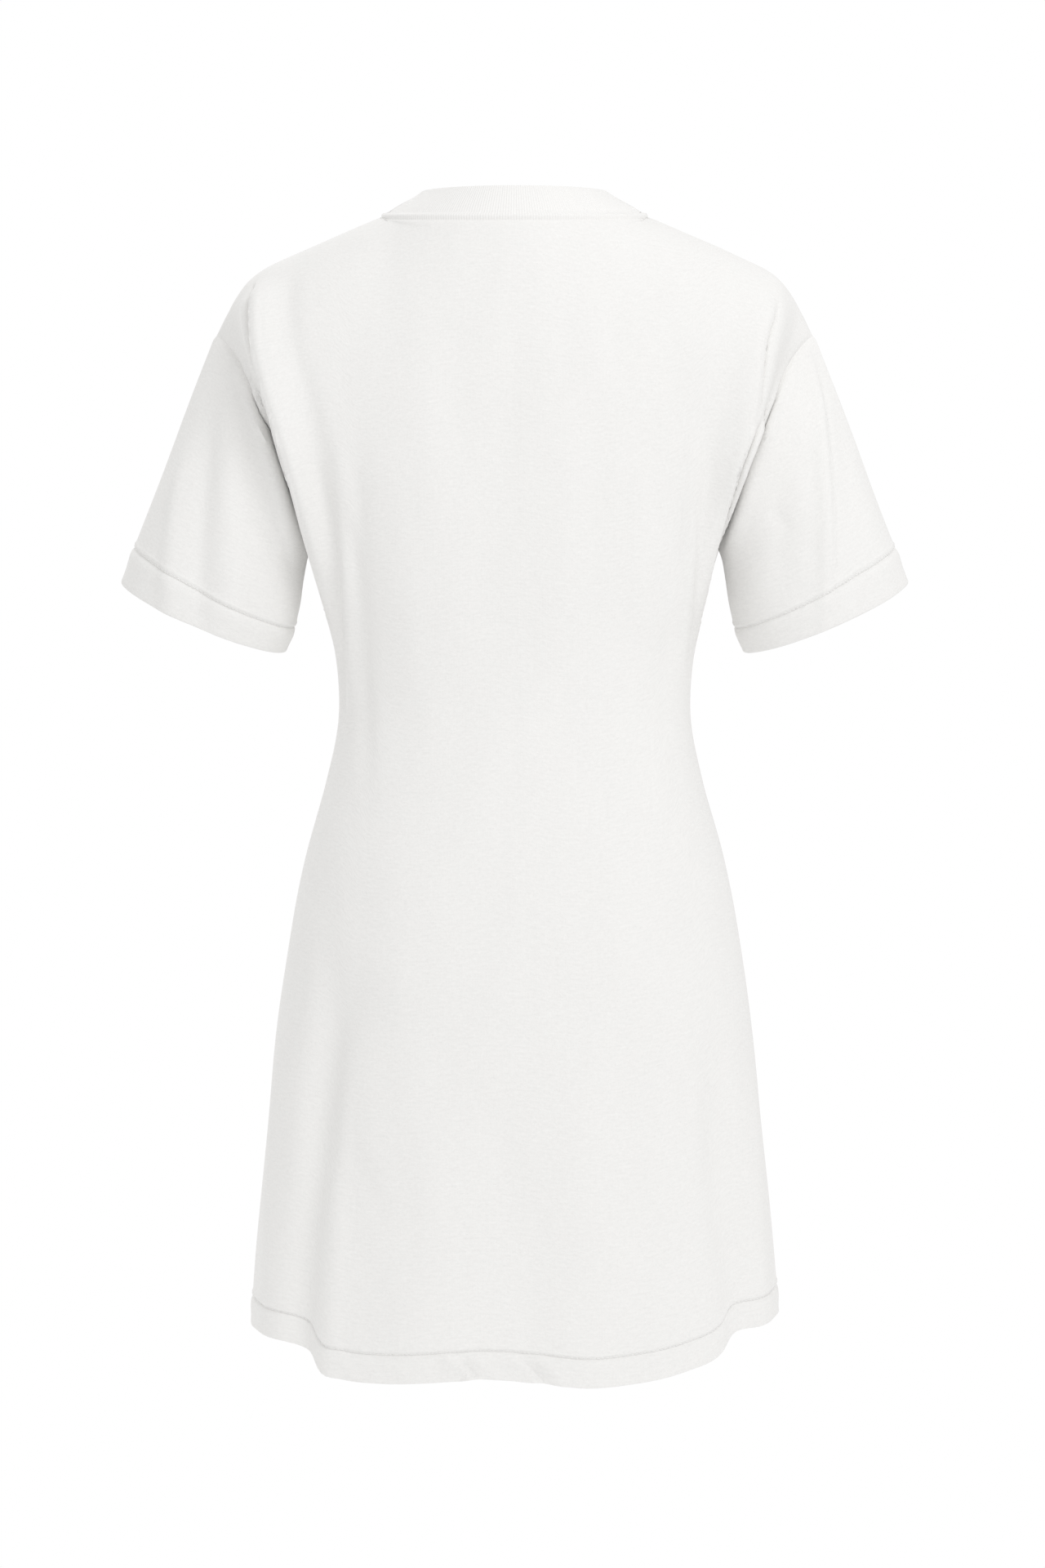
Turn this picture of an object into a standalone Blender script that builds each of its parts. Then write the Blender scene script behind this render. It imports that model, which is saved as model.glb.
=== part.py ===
"""T-shirt dress: a short-sleeved jersey dress, drawn in at the waist and flared to a mini hem.

It keeps the hollow form it has when worn, with nobody in it. The wearer faces +Y, +X is on
the wearer's right, +Z is up, and the origin lies midway between the two high points of the
shoulder, where the neck and shoulders of the wearer hold the dress. Every size is in metres.

The pieces are those of the cut: back, front, two sleeves and the neck rib. Each is a wall of
cloth, and back, front and sleeves end in a hem that is turned up on the inside.
"""

import math
from collections import namedtuple

import bpy
import numpy as np

CLOTH = 0.0012  # thickness of the jersey
RIB = 0.0022  # thickness of the neck rib, which is rib cloth folded double
GAP = 0.0005  # left open between pieces at a seam, and inside a turned-up hem
HEM = 0.020  # depth of the turned-up hem, on the skirt and on the sleeves

NECK_HALF = 0.0995  # from the centre line to the high point of the shoulder
NECK_BACK = 0.075  # how far the neck seam lies behind the origin
NECK_BACK_DROP = 0.0145  # how far it lies below the high points at the centre back
NECK_FRONT = 0.083
NECK_FRONT_DROP = 0.095

BACK, FRONT = -1, 1  # the sign of Y that a panel lies on

# The shoulder seam from the high point of the shoulder down to the sleeve head.
Ridge = namedtuple("Ridge", "out up")
SHOULDER = [
    Ridge(0.0995, 0.0000),
    Ridge(0.1400, -0.0175),
    Ridge(0.1700, -0.0310),
    Ridge(0.1930, -0.0440),
    Ridge(0.2055, -0.0570),
    Ridge(0.2140, -0.0700),
    Ridge(0.2225, -0.0870),
]

# Level sections of the body, named by the height of the side seam. half is the widest half
# width, side the half width at the side seam, back and front the depths from the side seam,
# and drop how far the row of cloth hangs lower at the centre than at the side seam.
Section = namedtuple("Section", "height half side back front drop")
BODY = [
    Section(-0.8212, 0.1955, 0.1955, 0.128, 0.121, 0.0265),  # hem
    Section(-0.760, 0.1905, 0.1905, 0.127, 0.118, 0.025),
    Section(-0.660, 0.1810, 0.1810, 0.125, 0.113, 0.016),
    Section(-0.565, 0.1705, 0.1705, 0.120, 0.108, 0.009),  # hips
    Section(-0.470, 0.1530, 0.1530, 0.106, 0.102, 0.004),
    Section(-0.420, 0.1390, 0.1390, 0.096, 0.099, 0.002),
    Section(-0.370, 0.1298, 0.1298, 0.088, 0.097, 0.001),  # waist
    Section(-0.330, 0.1318, 0.1318, 0.088, 0.101, 0.003),
    Section(-0.290, 0.1425, 0.1390, 0.091, 0.108, 0.008),
    Section(-0.268, 0.1510, 0.1440, 0.093, 0.111, 0.012),
    Section(-0.244, 0.1585, 0.1510, 0.095, 0.112, 0.018),  # underarm
]
ROUNDNESS = 2.25  # exponent of the superellipse that the sections follow
SIDE_PULL = 0.030  # how far from the side seam the sections are drawn in to it
SIDE_LIFT = 0.085  # how far from the side seam the cloth still hangs higher
HEM_LINE = {  # how far the hem hangs below the left side seam, at shares of its width
    BACK: [(0.000, 0.0000), (0.120, 0.0008), (0.180, 0.0052), (0.205, 0.0110), (0.225, 0.0202),
           (0.260, 0.0240), (0.320, 0.0252), (0.380, 0.0232), (0.460, 0.0205), (0.530, 0.0230),
           (0.600, 0.0265), (0.650, 0.0252), (0.740, 0.0180), (0.785, 0.0122), (0.810, 0.0060),
           (0.830, -0.0030), (0.870, -0.0062), (0.940, -0.0082), (1.000, -0.0088)],
    FRONT: [(0.000, 0.0000), (0.080, 0.0045), (0.200, 0.0170), (0.350, 0.0245), (0.500, 0.0262),
            (0.650, 0.0225), (0.800, 0.0115), (0.920, -0.0040), (1.000, -0.0088)],
}
HEM_LINE_TOP = -0.660  # height where the hem's own line begins

# Above the underarm each column of cloth is a cubic curve from the underarm row over the
# shoulder. rise is its first handle and over its second, each as (out, deep, up), at a
# distance along the shoulder seam from the sleeve, and then on along the neck.
Column = namedtuple("Column", "along rise over")
BACK_COLUMNS = [
    Column(0.000, (0.004, 0.050, -0.006), (-0.046, 0.046, -0.040)),  # armhole seam
    Column(0.016, (0.004, 0.046, 0.008), (-0.024, 0.058, -0.030)),
    Column(0.046, (0.016, 0.058, 0.040), (0.006, 0.084, -0.012)),  # fold over the sleeve
    Column(0.090, (0.010, 0.036, 0.110), (0.000, 0.083, -0.012)),
    Column(0.157, (0.002, 0.014, 0.130), (0.000, 0.080, -0.012)),  # high shoulder point
    Column(0.198, (0.000, 0.008, 0.130), (0.000, 0.047, -0.032)),
    Column(0.244, (0.000, 0.004, 0.120), (0.000, 0.025, -0.045)),
    Column(0.295, (0.000, 0.003, 0.110), (0.000, 0.018, -0.050)),  # centre back
]
FRONT_COLUMNS = [
    Column(0.000, (0.003, 0.048, -0.006), (-0.048, 0.044, -0.042)),
    Column(0.016, (0.004, 0.042, 0.008), (-0.026, 0.054, -0.032)),
    Column(0.046, (0.014, 0.042, 0.040), (0.002, 0.070, -0.012)),
    Column(0.090, (0.008, 0.020, 0.090), (0.000, 0.074, -0.010)),
    Column(0.157, (0.000, 0.002, 0.110), (0.000, 0.072, -0.008)),
    Column(0.200, (0.000, -0.006, 0.090), (0.000, 0.038, -0.024)),
    Column(0.250, (0.000, -0.006, 0.060), (0.000, 0.018, -0.038)),
    Column(0.310, (0.000, -0.004, 0.040), (0.000, 0.010, -0.040)),  # centre front
]

# The largest folds of the skirt: where on the panel, as a share of its width, how far it
# stands out at the hem, how wide it is, and the height where it starts.
Fold = namedtuple("Fold", "share out width top")
BACK_FOLDS = [
    Fold(0.125, -0.0100, 0.026, -0.480),
    Fold(0.205, 0.0050, 0.050, -0.600),
    Fold(0.320, 0.0050, 0.060, -0.640),
    Fold(0.450, -0.0050, 0.070, -0.600),
    Fold(0.640, 0.0060, 0.080, -0.580),
    Fold(0.880, -0.0100, 0.026, -0.520),
]
FRONT_FOLDS = [
    Fold(0.130, -0.0080, 0.030, -0.500),
    Fold(0.270, 0.0050, 0.060, -0.600),
    Fold(0.430, -0.0045, 0.070, -0.620),
    Fold(0.600, 0.0055, 0.075, -0.590),
    Fold(0.740, -0.0040, 0.060, -0.640),
    Fold(0.875, -0.0080, 0.028, -0.520),
]

# The sleeve hem is a tilted oval: its centre, its outer-to-inner half axis and its
# front-to-back half axis, which dips towards the back.
CUFF_CENTRE = (0.2320, 0.004, -0.2955)
CUFF_ACROSS = (-0.0605, 0.000, -0.0257)
CUFF_DEEP = (0.000, -0.052, -0.0115)
# The sleeve's columns of cloth, from the sleeve head (0) to the underarm seam (1): the handle
# that leaves the armhole, as (out, deep, up), and the length of the one that ends at the hem.
Seamline = namedtuple("Seamline", "share leave arrive")
SLEEVE_COLUMNS = [
    Seamline(0.00, (0.0240, 0.000, -0.0600), 0.060),
    Seamline(0.30, (0.0340, 0.016, -0.0420), 0.060),
    Seamline(0.60, (0.0300, 0.014, -0.0240), 0.050),
    Seamline(0.85, (0.0200, 0.004, -0.0060), 0.045),
    Seamline(1.00, (0.0090, 0.000, -0.0100), 0.045),
]

# The upper edge of the neck rib: half width, depths and heights.
RIB_HALF = 0.0695
RIB_BACK = 0.0610
RIB_FRONT = 0.0690
RIB_SIDE_UP = 0.0235
RIB_BACK_UP = 0.0150
RIB_FRONT_UP = -0.0660
RIB_CURVE = 0.010  # length of the handles that bend the rib from the body's slope to upright

# How finely the cloth is divided.
HEM_STEPS = (0.0, HEM / 2, HEM)
BODY_HEIGHTS = (-0.765, -0.725, -0.685, -0.645, -0.605, -0.565, -0.525, -0.487, -0.450,
                -0.418, -0.392, -0.370, -0.348, -0.322, -0.294, -0.268, -0.244)
RISE_STEPS = (0.0, 0.09, 0.19, 0.30, 0.41, 0.52, 0.63, 0.74, 0.84, 0.93, 1.0)
SHOULDER_STEPS = (0.0, 0.07, 0.17, 0.30, 0.45, 0.62, 0.80, 1.0)
NECK_STEPS = 6
SLEEVE_STEPS = 6
RIB_STEPS = 3
TURN_ANGLES = (90, 180)
DENSE = 400

WHITE = (0.90, 0.895, 0.88, 1.0)


def smooth(at, knots, values):
    """A cubic through the knots with even slopes; values may be numbers or points."""
    at, knots, values = (np.asarray(x, float) for x in (at, knots, values))
    shape = (-1,) + (1,) * (values.ndim - 1)
    step = np.diff(knots).reshape(shape)
    pitch = np.diff(values, axis=0) / step
    inner = (pitch[:-1] * step[1:] + pitch[1:] * step[:-1]) / (step[1:] + step[:-1])
    slope = np.concatenate([pitch[:1], inner, pitch[-1:]])
    i = np.clip(np.searchsorted(knots, at, side="right") - 1, 0, len(knots) - 2)
    h = step[i]
    t = ((at - knots[i]) / np.diff(knots)[i]).reshape(at.shape + (1,) * (values.ndim - 1))
    return (
        values[i] * (1 + 2 * t) * (1 - t) ** 2
        + slope[i] * h * t * (1 - t) ** 2
        + values[i + 1] * t * t * (3 - 2 * t)
        - slope[i + 1] * h * t * t * (1 - t)
    )


def cubic(start, leave, arrive, end, t):
    """Points of a cubic curve from start to end, with its two handles given as offsets."""
    t = np.asarray(t, float)[:, None, None]
    a, b = start + leave, end + arrive
    return start * (1 - t) ** 3 + 3 * a * t * (1 - t) ** 2 + 3 * b * t * t * (1 - t) + end * t**3


def ease(t):
    t = np.clip(t, 0, 1)
    return t * t * (3 - 2 * t)


def lengths(line):
    """The distance along a line of points at each of them."""
    return np.concatenate([[0], np.cumsum(np.linalg.norm(np.diff(line, axis=0), axis=1))])


def unit(v):
    return v / np.linalg.norm(v, axis=-1, keepdims=True)


def table(rows, column):
    return np.array([getattr(row, column) for row in rows], float)


def shoulder_line(steps):
    """Points of the shoulder seam, from the sleeve head (0) to the high shoulder point (1)."""
    knots = np.array([(r.out, 0.0, r.up) for r in reversed(SHOULDER)])
    dense = smooth(np.linspace(0, 1, DENSE), lengths(knots) / lengths(knots)[-1], knots)
    along = lengths(dense)
    return smooth(np.array(steps) * along[-1], along, dense), along[-1]


def neck_line(facing, steps):
    """Points of the neck seam, from the high shoulder point (0) to the centre (1)."""
    turn = np.linspace(0, math.pi / 2, DENSE)
    if facing == BACK:
        deep, up = NECK_BACK * np.sin(turn), -NECK_BACK_DROP * np.sin(turn)
    else:
        deep, up = NECK_FRONT * np.sin(turn), -NECK_FRONT_DROP * np.sin(turn) ** 2
    dense = np.stack([NECK_HALF * np.cos(turn), deep, up], axis=1)
    along = lengths(dense)
    return smooth(np.array(steps) * along[-1], along, dense), along[-1]


def top_edge(facing):
    """The half top edge from sleeve head to centre, as (out, deep, up), and its distances."""
    seam, seam_long = shoulder_line(SHOULDER_STEPS)
    neck, neck_long = neck_line(facing, np.linspace(0, 1, NECK_STEPS + 1)[1:])
    along = np.concatenate([
        np.array(SHOULDER_STEPS) * seam_long,
        seam_long + np.linspace(0, 1, NECK_STEPS + 1)[1:] * neck_long,
    ])
    return np.concatenate([seam, neck]), along


def body_row(facing, height, shares, folds, above_hem=0.0):
    """One row of a body panel's points, at shares 0 (side seam) to 1 (other side seam)."""
    heights = table(BODY, "height")
    half, side, drop = (smooth(height, heights, table(BODY, c)) for c in ("half", "side", "drop"))
    depth = smooth(height, heights, table(BODY, "back" if facing == BACK else "front"))
    turn = np.linspace(-math.pi / 2, math.pi / 2, 2 * DENSE + 1)
    out = half * np.sign(np.sin(turn)) * np.abs(np.sin(turn)) ** (2 / ROUNDNESS)
    deep = depth * np.abs(np.cos(turn)) ** (2 / ROUNDNESS)
    out *= 1 - (1 - side / half) * np.exp(-((deep / SIDE_PULL) ** 2))
    line = np.stack([out, deep, np.zeros_like(out)], axis=1)
    along = lengths(line)
    at = np.asarray(shares) * along[-1]
    points = np.stack([np.interp(at, along, line[:, k]) for k in range(3)], axis=1)
    from_side = np.minimum(at, along[-1] - at)
    lowered = 1 - np.exp(-((from_side / SIDE_LIFT) ** 2))
    hem_line = smooth(np.asarray(shares), *np.transpose(HEM_LINE[facing]))
    near_hem = ease((HEM_LINE_TOP - height) / (HEM_LINE_TOP - BODY[0].height))
    points[:, 2] = height - drop * lowered * (1 - near_hem) - hem_line * near_hem + above_hem
    away = unit(np.stack([points[:, 0] / half**2, points[:, 1] / depth**2, 0 * at], axis=1))
    for fold in folds:
        grown = ease((fold.top - height) / (fold.top - BODY[0].height))
        swell = fold.out * grown * np.exp(-(((np.asarray(shares) - fold.share) / fold.width) ** 2))
        points += away * swell[:, None]
    return points


def body_panel(facing, columns, folds):
    """A body panel's outer points [row, column] from the hem up, side seam to side seam."""
    top, along = top_edge(facing)
    knots = table(columns, "along")
    knots[-1] = along[-1]
    shares = np.concatenate([along, 2 * along[-1] - along[-2::-1]]) / (2 * along[-1])
    rows = [body_row(facing, BODY[0].height, shares, folds, step) for step in HEM_STEPS]
    rows += [body_row(facing, height, shares, folds) for height in BODY_HEIGHTS]
    start = rows[-1][: len(along)] * (-1, 1, 1)
    rise = smooth(along, knots, table(columns, "rise"))
    over = smooth(along, knots, table(columns, "over"))
    upper = cubic(start, rise, over, top, RISE_STEPS[1:])
    upper = np.concatenate([upper * (-1, 1, 1), upper[:, -2::-1]], axis=1)
    grid = np.concatenate([np.stack(rows), upper])
    return grid * (1, facing, 1)


def armhole(panel, side):
    """A panel's armhole edge, from the underarm up to the sleeve head."""
    return panel[-len(RISE_STEPS):, 0 if side < 0 else -1]


def sleeve_panel(back, front, side):
    """A sleeve's outer points [row, column], from the hem up and from seam round to seam."""
    rear, fore = armhole(back, side), armhole(front, side)[-2::-1]
    ring = np.concatenate([rear, fore])
    split = len(rear) - 1
    long = lengths(ring)
    share = np.where(
        np.arange(len(ring)) <= split,
        1 - long / long[split],
        (long - long[split]) / (long[-1] - long[split]),
    )
    deep = np.where(np.arange(len(ring)) <= split, 1.0, -1.0)
    centre, across, depth = (np.array(v) * (side, 1, 1) for v in (CUFF_CENTRE, CUFF_ACROSS, CUFF_DEEP))
    turn = np.linspace(0, math.pi, DENSE)
    half_oval = np.cos(turn)[:, None] * -across + np.sin(turn)[:, None] * depth
    even = lengths(half_oval) / lengths(half_oval)[-1]
    angle = np.interp(share, even, turn)[:, None]
    cuff = centre - np.cos(angle) * across + np.sin(angle) * depth * deep[:, None]
    knots = table(SLEEVE_COLUMNS, "share")
    leave = smooth(share, knots, table(SLEEVE_COLUMNS, "leave"))
    leave = leave * np.stack([np.full(len(ring), side), -deep, np.ones(len(ring))], axis=1)
    arm = unit(np.cross(across, depth)) * side
    arrive = smooth(share, knots, table(SLEEVE_COLUMNS, "arrive"))[:, None] * arm
    steps = np.linspace(0, 1, SLEEVE_STEPS + 1)
    long_way = np.linalg.norm(cuff - ring, axis=1).mean()
    above_hem = 1 - HEM / long_way
    steps = np.concatenate([steps[:-1] * above_hem, [above_hem, (1 + above_hem) / 2, 1.0]])
    return cubic(ring, leave, arrive, cuff, steps)[::-1]


def normals_of(grid, inside):
    """Unit normals of a grid of points, facing away from the points inside it."""
    normals = unit(np.cross(np.gradient(grid, axis=0), np.gradient(grid, axis=1)))
    return normals if (normals * (grid - inside)).sum() > 0 else -normals


def sew(one, two):
    """Ends two pieces face to face along a seam. Each is (points, normals, edge, next line in)."""
    (points, normals, edge, inner), (others, facings, rim, beyond) = one, two
    apart = unit(unit(points[inner] - points[edge]) - unit(others[beyond] - others[rim]))
    common = normals[edge] + facings[rim]
    common = unit(common - apart * (common * apart).sum(axis=-1, keepdims=True))
    points[edge] = points[edge] + apart * GAP / 2
    others[rim] = others[rim] - apart * GAP / 2
    normals[edge] = common
    facings[rim] = common


def share_corner(*corners):
    """Gives the corners of pieces that meet at one point a single normal."""
    common = unit(sum(normals[corner] for normals, corner in corners))
    for normals, corner in corners:
        normals[corner] = common


def turned_up(grid, normals):
    """Both faces of a panel whose rows 0 to 2 are a hem, turned up inside along row 0."""
    up = unit(grid[1] - grid[0])
    axis = grid[0] - normals[0] * (CLOTH + GAP / 2)
    outer, inner = [], []
    for row in (2, 1):
        outer.append(grid[row] - normals[row] * (2 * CLOTH + GAP))
        inner.append(grid[row] - normals[row] * (CLOTH + GAP))
    for angle in reversed(TURN_ANGLES):
        turn = math.radians(angle)
        spoke = math.cos(turn) * normals[0] - math.sin(turn) * up
        outer.append(axis + spoke * (CLOTH + GAP / 2))
        inner.append(axis + spoke * GAP / 2)
    return (
        np.concatenate([np.stack(outer), grid]),
        np.concatenate([np.stack(inner), grid - normals * CLOTH]),
    )


def cloth_piece(name, outer, inner, closed=False):
    """Makes the object: two faces of cloth joined round all their edges."""
    rows, columns = outer.shape[:2]
    number = np.arange(rows * columns).reshape(rows, columns)
    if closed:
        number = np.concatenate([number, number[:, :1]], axis=1)
    under = number + rows * columns
    quads = [
        np.stack([number[:-1, :-1], number[:-1, 1:], number[1:, 1:], number[1:, :-1]], axis=-1),
        np.stack([under[:-1, :-1], under[1:, :-1], under[1:, 1:], under[:-1, 1:]], axis=-1),
    ]
    rims = [(number[0], under[0]), (under[-1], number[-1])]
    if not closed:
        rims += [(under[:, 0], number[:, 0]), (number[:, -1], under[:, -1])]
    quads += [np.stack([a[1:], a[:-1], b[:-1], b[1:]], axis=-1) for a, b in rims]
    faces = np.concatenate([q.reshape(-1, 4) for q in quads])
    points = np.concatenate([outer.reshape(-1, 3), inner.reshape(-1, 3)])
    centre = points[faces].mean(axis=1)
    corner = points[faces[:, 0]]
    area = np.cross(points[faces[:, 2]] - corner, points[faces[:, 3]] - points[faces[:, 1]])
    if (centre * area).sum() < 0:
        faces = faces[:, ::-1]
    mesh = bpy.data.meshes.new(name)
    mesh.from_pydata(points.tolist(), [], faces.tolist())
    mesh.shade_smooth()
    mesh.set_sharp_from_angle(angle=math.radians(50))
    piece = bpy.data.objects.new(name, mesh)
    bpy.context.scene.collection.objects.link(piece)
    return piece


def jersey(name, roughness):
    material = bpy.data.materials.new(name)
    material.use_nodes = True
    shader = material.node_tree.nodes["Principled BSDF"]
    shader.inputs["Base Color"].default_value = WHITE
    shader.inputs["Roughness"].default_value = roughness
    shader.inputs["Metallic"].default_value = 0.0
    return material


def neck_rib(back, front):
    """The neck rib's outer points [row, column], from the neck seam up, round from one shoulder."""
    first = len(SHOULDER_STEPS) - 1
    last = back.shape[1] - 1 - first
    seam = np.concatenate([back[-1, first:last + 1], front[-1, last - 1:first:-1]])
    below = np.concatenate([back[-2, first:last + 1], front[-2, last - 1:first:-1]])
    turn = np.concatenate([
        np.linspace(0, math.pi, 2 * NECK_STEPS + 1),
        np.linspace(math.pi, 2 * math.pi, 2 * NECK_STEPS + 1)[1:-1],
    ])
    deep = -np.sin(turn)
    behind, ahead = -deep * (RIB_BACK_UP - RIB_SIDE_UP), deep**2 * (RIB_FRONT_UP - RIB_SIDE_UP)
    lowered = np.where(deep < 0, behind, ahead)
    reach = np.where(deep < 0, RIB_BACK, RIB_FRONT) * deep
    upper = np.stack([-RIB_HALF * np.cos(turn), reach, RIB_SIDE_UP + lowered], axis=1)
    flow = unit(seam - below) * RIB_CURVE
    upright = np.array((0.0, 0.0, -RIB_CURVE))
    return cubic(seam, flow, upright, upper, np.linspace(0, 1, RIB_STEPS + 1))


def build():
    for old in list(bpy.data.objects):
        bpy.data.objects.remove(old, do_unlink=True)
    back = body_panel(BACK, BACK_COLUMNS, BACK_FOLDS)
    front = body_panel(FRONT, FRONT_COLUMNS, FRONT_FOLDS)
    upright = np.array((0.0, 0.0, 1.0))
    n_back, n_front = normals_of(back, back * upright), normals_of(front, front * upright)
    rise = len(RISE_STEPS) - 1
    underarm = len(back) - 1 - rise
    neck = len(SHOULDER_STEPS) - 1
    width = back.shape[1]
    rib = neck_rib(back, front)
    ring = np.concatenate([rib, rib[:, :1]], axis=1)
    n_rib = normals_of(ring, rib.mean(axis=1, keepdims=True))[:, :-1]
    sleeves = {side: sleeve_panel(back, front, side) for side in (-1, 1)}
    n_sleeves = {side: normals_of(s, s.mean(axis=1, keepdims=True)) for side, s in sleeves.items()}

    for side in (-1, 1):
        edge, inner = (0, 1) if side < 0 else (width - 1, width - 2)
        sleeve, n_sleeve = sleeves[side], n_sleeves[side]
        below, hole = slice(0, underarm), slice(underarm, len(back))
        over = slice(0, neck) if side < 0 else slice(width - neck, width)
        for seam, beside in (((below, edge), (below, inner)), ((-1, over), (-2, over))):
            sew((back, n_back, seam, beside), (front, n_front, seam, beside))
        rear, fore = slice(0, rise + 1), slice(None, rise - 1, -1)
        sew((back, n_back, (hole, edge), (hole, inner)), (sleeve, n_sleeve, (-1, rear), (-2, rear)))
        sew((front, n_front, (hole, edge), (hole, inner)), (sleeve, n_sleeve, (-1, fore), (-2, fore)))
        long = slice(0, -1)
        sew((sleeve, n_sleeve, (long, 0), (long, 1)), (sleeve, n_sleeve, (long, -1), (long, -2)))
        share_corner((n_back, (-1, edge)), (n_front, (-1, edge)), (n_sleeve, (-1, rise)))
        share_corner((n_back, (underarm, edge)), (n_front, (underarm, edge)),
                     (n_sleeve, (-1, 0)), (n_sleeve, (-1, -1)))
    span = width - 1 - 2 * neck
    behind, round_back = slice(neck, width - neck), slice(0, span + 1)
    ahead, round_front = slice(width - neck - 2, neck, -1), slice(span + 1, None)
    sew((back, n_back, (-1, behind), (-2, behind)), (rib, n_rib, (0, round_back), (1, round_back)))
    sew((front, n_front, (-1, ahead), (-2, ahead)), (rib, n_rib, (0, round_front), (1, round_front)))
    for corner, rib_corner in ((neck, 0), (width - 1 - neck, span)):
        share_corner((n_back, (-1, corner)), (n_front, (-1, corner)), (n_rib, (0, rib_corner)))

    cotton, ribbing = jersey("jersey", 0.85), jersey("rib", 0.88)
    pieces = [
        cloth_piece("back", *turned_up(back, n_back)),
        cloth_piece("front", *turned_up(front, n_front)),
        cloth_piece("sleeve_left", *turned_up(sleeves[-1], n_sleeves[-1])),
        cloth_piece("sleeve_right", *turned_up(sleeves[1], n_sleeves[1])),
    ]
    for piece in pieces:
        piece.data.materials.append(cotton)
    band = cloth_piece("neck_rib", rib, rib - n_rib * RIB, closed=True)
    band.data.materials.append(ribbing)


build()
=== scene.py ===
"""A short-sleeved t-shirt dress of off-white cotton jersey, filled out as when it is worn.

The wearer faces +Y and +X is on the wearer's right. All sizes are in metres.
"""

import math
from collections import namedtuple

import bpy
import numpy as np
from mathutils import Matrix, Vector


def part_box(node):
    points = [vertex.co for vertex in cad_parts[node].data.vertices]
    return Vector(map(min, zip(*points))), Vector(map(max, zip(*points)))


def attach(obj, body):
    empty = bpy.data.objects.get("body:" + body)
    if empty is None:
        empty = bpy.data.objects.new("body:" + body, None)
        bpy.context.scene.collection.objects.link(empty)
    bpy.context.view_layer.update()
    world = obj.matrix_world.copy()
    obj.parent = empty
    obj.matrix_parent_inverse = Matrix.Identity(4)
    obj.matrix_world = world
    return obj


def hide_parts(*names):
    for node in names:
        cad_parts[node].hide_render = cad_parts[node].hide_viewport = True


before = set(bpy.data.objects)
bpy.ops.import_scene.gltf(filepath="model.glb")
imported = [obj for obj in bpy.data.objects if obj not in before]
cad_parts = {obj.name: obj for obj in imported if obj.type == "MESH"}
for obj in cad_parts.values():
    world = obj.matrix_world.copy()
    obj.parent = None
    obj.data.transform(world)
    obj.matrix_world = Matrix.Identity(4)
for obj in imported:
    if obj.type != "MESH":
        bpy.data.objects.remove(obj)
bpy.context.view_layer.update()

# ---------------------------------------------------------------------------------------------
# Back. One piece of single jersey from the neck to the hem, with the drop of the shoulder cut
# in one with it. It is overlocked to the front at the shoulders and sides, and its hem is
# turned up inside.

CLOTH = 0.0009  # thickness of the jersey
AIR = 0.0004  # between the two layers of a turned-up hem
BACK, FRONT = -1, 1  # the sign of Y on which a panel lies

PITCH = 0.0048  # between the rows and columns of the mesh
RISE_PITCH = 0.0034  # between the rows above the underarm, and between the rows of a sleeve
FOLD_REACH = 0.072  # from the sleeve head, along the shoulder: here the cloth folds over the sleeve
FOLD_PITCH = {BACK: 0.0014, FRONT: 0.0022}  # between the columns there
BESIDE_SEAM = np.array((0.0, 0.0007, 0.0015, 0.0026, 0.0042, 0.0065))  # rows beside a seam
HEM_ROWS = np.array((  # rows above the folded edge of the hem
    0.0, 0.0035, 0.0075, 0.0115, 0.0150, 0.0174, 0.0187, 0.0195, 0.0203, 0.0216, 0.0226, 0.0238, 0.0262
))
DITCH_ROW = 7  # of HEM_ROWS, where the hem's thread draws the cloth in
SEAM_HOLD = 0.016  # how far from a seam it still holds the cloth in place

HEM_DROP = 0.0265  # how far the hem hangs lower near the centre than at the left side seam
HEM_ROOM = 0.0014  # left for the fold of the hem below its first row
HEM_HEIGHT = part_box("back")[0][2] + HEM_DROP + HEM_ROOM
NECK_HALF = 0.0995  # from the centre line to the high point of the shoulder
NECK_DEEP = {BACK: 0.075, FRONT: 0.083}  # how far behind and before the shoulder the neck reaches
NECK_DROP = {BACK: 0.0145, FRONT: 0.095}  # how far it lies below the shoulder at the centre
RISE = 0.26  # about how long the columns of cloth are above the underarm
SHOULDER = [  # from the high point of the shoulder out and down to the sleeve head
    (0.0995, 0.0, 0.0000),
    (0.1400, 0.0, -0.0175),
    (0.1700, 0.0, -0.0310),
    (0.1930, 0.0, -0.0440),
    (0.2055, 0.0, -0.0570),
    (0.2140, 0.0, -0.0700),
    (0.2225, 0.0, -0.0870),
]

# Level sections of the body: half width, half width at the side seam, depths behind and in
# front of the side seam, and how far the cloth hangs lower at the centre.
Section = namedtuple("Section", "height half side back front drop")
BODY = [
    Section(HEM_HEIGHT, 0.1955, 0.1955, 0.128, 0.121, HEM_DROP),
    Section(-0.760, 0.1905, 0.1905, 0.127, 0.118, 0.025),
    Section(-0.660, 0.1810, 0.1810, 0.125, 0.113, 0.016),
    Section(-0.565, 0.1705, 0.1705, 0.120, 0.108, 0.009),
    Section(-0.470, 0.1530, 0.1530, 0.106, 0.102, 0.004),
    Section(-0.420, 0.1390, 0.1390, 0.096, 0.099, 0.002),
    Section(-0.370, 0.1298, 0.1298, 0.088, 0.097, 0.001),
    Section(-0.330, 0.1318, 0.1318, 0.088, 0.101, 0.003),
    Section(-0.290, 0.1425, 0.1390, 0.091, 0.108, 0.008),
    Section(-0.268, 0.1510, 0.1440, 0.093, 0.111, 0.012),
    Section(-0.244, 0.1585, 0.1510, 0.095, 0.112, 0.018),
]
ROUNDNESS = 2.25  # exponent of the superellipse that the sections follow
SIDE_PULL = 0.030  # how far from the side seam the sections are drawn in to it
SIDE_LIFT = 0.085  # how far from the side seam the cloth still hangs higher
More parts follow.
